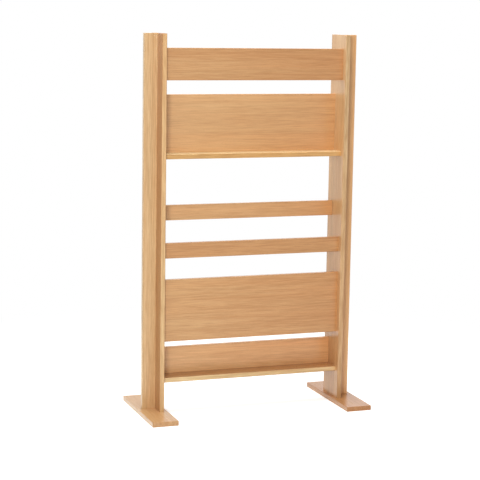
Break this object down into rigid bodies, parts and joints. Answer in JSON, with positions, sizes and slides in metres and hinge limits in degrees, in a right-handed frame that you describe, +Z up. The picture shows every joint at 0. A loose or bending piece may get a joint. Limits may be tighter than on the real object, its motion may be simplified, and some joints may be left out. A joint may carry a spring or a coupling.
{
  "type": "periodical display rack",
  "caption": "Free-standing wooden periodical rack: T-shaped posts on flat feet carry rails, panels and ledges in a front and a back plane, so that magazines stand between them.",
  "frame": {"origin": "on the floor, midway between the two feet", "axes": "+Z up, -Y is the front that readers face, +X is to the right seen from the front"},
  "size_m": [0.858, 0.4, 1.4],
  "materials": {
    "oak": "clear satin lacquer",
    "tenon_beech": "bare, glued in",
    "screw_steel": "zinc plated"
  },
  "bodies": {
    "root": {"left_foot": "oak", "right_foot": "oak", "left_side_board": "oak", "right_side_board": "oak", "left_post_web": "oak", "right_post_web": "oak", "top_rail": "oak", "upper_back_panel": "oak", "upper_ledge": "oak", "upper_narrow_rail": "oak", "lower_narrow_rail": "oak", "lower_front_panel": "oak", "bottom_back_panel": "oak", "bottom_ledge": "oak", "top_rail_tenons": "tenon_beech", "upper_back_panel_tenons": "tenon_beech", "upper_ledge_tenons": "tenon_beech", "upper_narrow_rail_tenons": "tenon_beech", "lower_narrow_rail_tenons": "tenon_beech", "lower_front_panel_tenons": "tenon_beech", "bottom_back_panel_tenons": "tenon_beech", "bottom_ledge_tenons": "tenon_beech", "upper_panel_ledge_tenons": "tenon_beech", "bottom_panel_ledge_tenons": "tenon_beech", "left_web_tenons": "tenon_beech", "right_web_tenons": "tenon_beech", "left_foot_screws": "screw_steel", "right_foot_screws": "screw_steel"}
  },
  "joints": []
}
